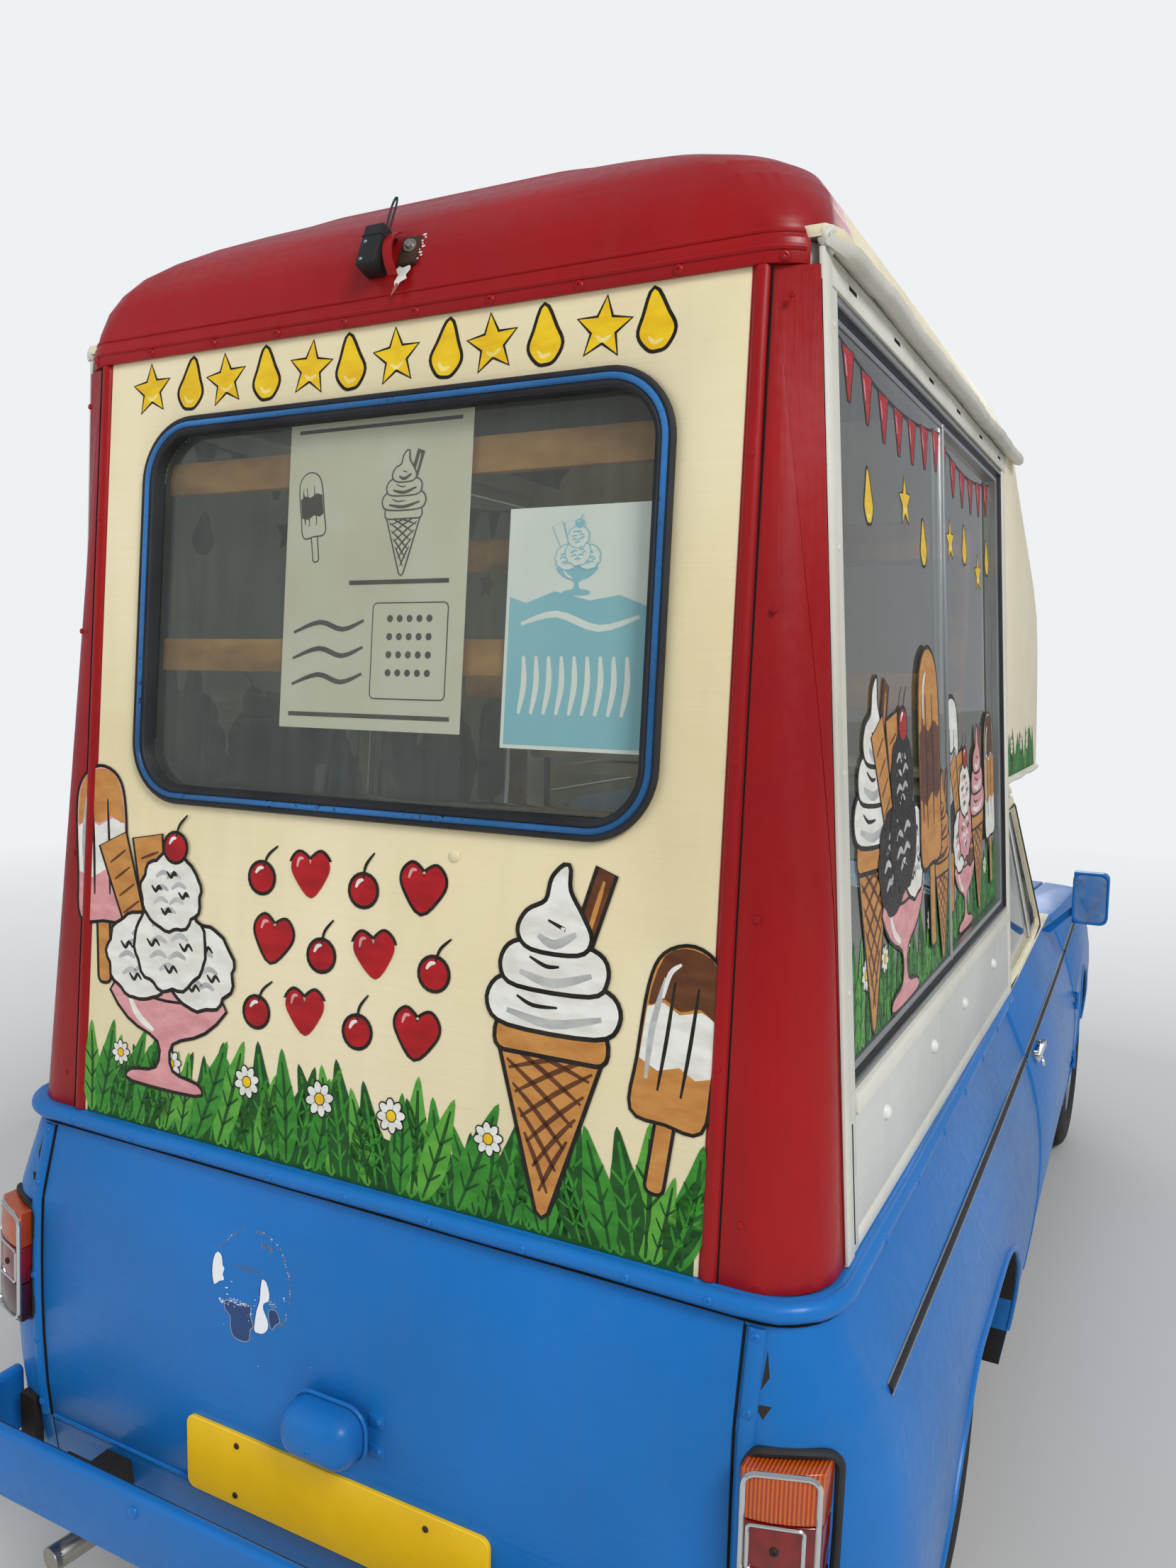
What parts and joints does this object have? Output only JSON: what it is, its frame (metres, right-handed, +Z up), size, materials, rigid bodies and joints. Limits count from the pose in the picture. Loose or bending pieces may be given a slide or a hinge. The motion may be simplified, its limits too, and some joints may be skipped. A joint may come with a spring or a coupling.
{
  "type": "ice cream van",
  "caption": "Coach-built ice cream van on a small car-derived van: blue lower body, cream top with rear window, sliding side hatches, domed roof, hinged doors and bonnet, steered wheels.",
  "frame": {"origin": "on the ground, under the middle of the van's box", "axes": "+X to the van's right, +Y forwards, +Z up"},
  "size_m": [1.596, 3.825, 2.3],
  "materials": {
    "blue_paint": "brushed gloss enamel",
    "cream_paint": "brushed gloss enamel",
    "white_paint": "brushed enamel, worn",
    "red_paint": "brushed gloss enamel",
    "glass": "clear float glass",
    "lamp_glass": "fluted lamp glass in chrome",
    "tail_lens": "moulded lens",
    "black_rubber": "weathered rubber",
    "chrome": "pitted chrome",
    "aluminium": "dull extrusion",
    "steel_rim": "silver painted steel",
    "tyre": "tyre rubber",
    "underbody": "underseal",
    "exhaust_steel": "heat-dulled steel",
    "cast_iron": "painted casting",
    "plate_yellow": "reflective sheet",
    "vinyl": "grained vinyl",
    "black_plastic": "grained",
    "laminate": "wipe-clean laminate",
    "wood": "varnished softwood"
  },
  "bodies": {
    "body": {"floor_pan": "underbody", "chassis_rails": "underbody", "towing_eyes": "underbody", "side_panel_left": "blue_paint", "side_panel_right": "blue_paint", "rear_panel": "blue_paint", "waist_moulding": "blue_paint", "upper_rear_panel": "cream_paint", "corner_pillars": "red_paint", "upper_side_left": "white_paint", "upper_side_right": "white_paint", "side_window_rails": "aluminium", "window_glass": "glass", "rear_window_seal": "black_rubber", "roof": "cream_paint", "rear_dome": "red_paint", "luton": "cream_paint", "cab_shell": "cream_paint", "front_wing_left": "blue_paint", "front_wing_right": "blue_paint", "scuttle": "blue_paint", "front_panel": "blue_paint", "grille": "chrome", "headlamps": "lamp_glass", "front_bumper": "blue_paint", "rear_bumper": "blue_paint", "tail_lamps": "tail_lens", "number_plates": "plate_yellow", "plate_lamp": "blue_paint", "exhaust": "exhaust_steel", "fuel_tank": "underbody", "engine_block": "cast_iron", "rear_axle": "underbody", "front_suspension": "underbody", "dashboard": "black_plastic", "seats": "vinyl", "serving_counter": "laminate", "shelves": "wood"},
    "door_left": {"door_left": "blue_paint", "door_glass_left": "glass", "door_trim_left": "chrome"},
    "door_right": {"door_right": "blue_paint", "door_glass_right": "glass", "door_trim_right": "chrome"},
    "bonnet": {"bonnet": "blue_paint"},
    "steering_wheel": {"steering_wheel": "black_plastic"},
    "track_rod": {"track_rod": "underbody"},
    "knuckle_left": {"knuckle_left": "cast_iron"},
    "knuckle_right": {"knuckle_right": "cast_iron"},
    "wheel_front_left": {"tyre_front_left": "tyre", "rim_front_left": "steel_rim"},
    "wheel_front_right": {"tyre_front_right": "tyre", "rim_front_right": "steel_rim"},
    "wheel_rear_left": {"tyre_rear_left": "tyre", "rim_rear_left": "steel_rim"},
    "wheel_rear_right": {"tyre_rear_right": "tyre", "rim_rear_right": "steel_rim"}
  },
  "joints": [
    {"name": "door_right_hinge", "type": "hinge", "parent": "body", "child": "door_right", "pos_m": [0.7145, 0.782, 0.6], "axis": [0, 0, 1], "range_deg": [0, 65]},
    {"name": "door_left_hinge", "type": "hinge", "parent": "body", "child": "door_left", "pos_m": [-0.7145, 0.782, 0.6], "axis": [0, 0, -1], "range_deg": [0, 65]},
    {"name": "bonnet_hinge", "type": "hinge", "parent": "body", "child": "bonnet", "pos_m": [0, 0.742, 0.927], "axis": [1, 0, 0], "range_deg": [0, 60]},
    {"name": "steering", "type": "hinge", "parent": "body", "child": "steering_wheel", "pos_m": [0.29, 0.285, 0.815], "axis": [0, 0.848, -0.5299], "range_deg": [-420, 420]},
    {"name": "knuckle_right_steer", "type": "hinge", "parent": "body", "child": "knuckle_right", "pos_m": [0.545, 1.284, 0.29], "axis": [0, 0, -1], "range_deg": [-30.1, 30.1]},
    {"name": "knuckle_left_steer", "type": "hinge", "parent": "body", "child": "knuckle_left", "pos_m": [-0.545, 1.284, 0.29], "axis": [0, 0, -1], "range_deg": [-30.1, 30.1]},
    {"name": "track_rod_slide", "type": "slide", "parent": "body", "child": "track_rod", "axis": [-1, 0, 0], "range_m": [-0.057, 0.057]},
    {"name": "wheel_front_left_spin", "type": "hinge", "parent": "knuckle_left", "child": "wheel_front_left", "pos_m": [-0.6, 1.284, 0.29], "axis": [1, 0, 0], "continuous": true},
    {"name": "wheel_front_right_spin", "type": "hinge", "parent": "knuckle_right", "child": "wheel_front_right", "pos_m": [0.6, 1.284, 0.29], "axis": [1, 0, 0], "continuous": true},
    {"name": "wheel_rear_left_spin", "type": "hinge", "parent": "body", "child": "wheel_rear_left", "pos_m": [-0.612, -1.04, 0.29], "axis": [1, 0, 0], "continuous": true},
    {"name": "wheel_rear_right_spin", "type": "hinge", "parent": "body", "child": "wheel_rear_right", "pos_m": [0.612, -1.04, 0.29], "axis": [1, 0, 0], "continuous": true}
  ],
  "couplings": [
    {"joint": "knuckle_right_steer", "follows": "steering", "ratio": 0.071429},
    {"joint": "knuckle_left_steer", "follows": "steering", "ratio": 0.071429},
    {"joint": "track_rod_slide", "follows": "steering", "m_per_rad": 0.0077143}
  ]
}
